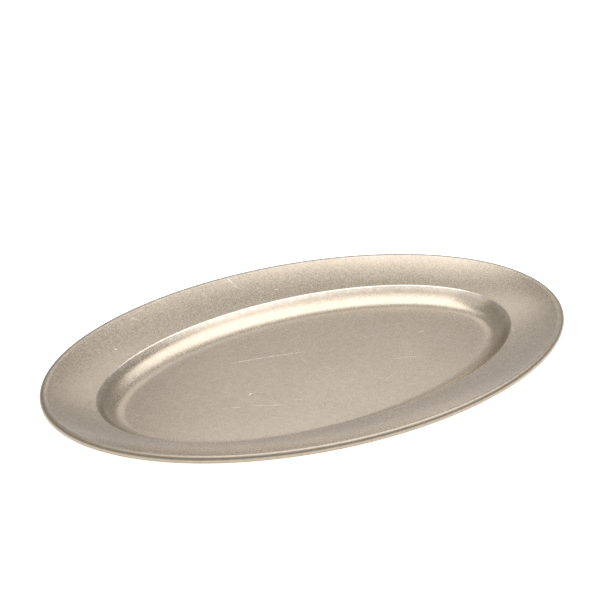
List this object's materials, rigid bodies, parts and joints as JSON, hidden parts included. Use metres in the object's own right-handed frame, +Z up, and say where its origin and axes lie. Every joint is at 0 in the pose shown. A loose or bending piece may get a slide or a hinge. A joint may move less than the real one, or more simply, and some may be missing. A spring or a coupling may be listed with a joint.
{
  "type": "oval serving tray",
  "caption": "Oval metal serving platter: flat well, wide cove, gently rising rim and an edge rolled round a hoop.",
  "frame": {"origin": "centre of the underside, on the surface that the tray stands on", "axes": "+X along the long axis, +Y across the tray, +Z up out of the well"},
  "size_m": [0.45, 0.295, 0.0226],
  "materials": {
    "tray_metal": "satin, stone-washed, with fine scratches",
    "wire_metal": "plain drawn wire"
  },
  "bodies": {
    "root": {"pressed_tray": "tray_metal", "edge_wire": "wire_metal"}
  },
  "joints": []
}
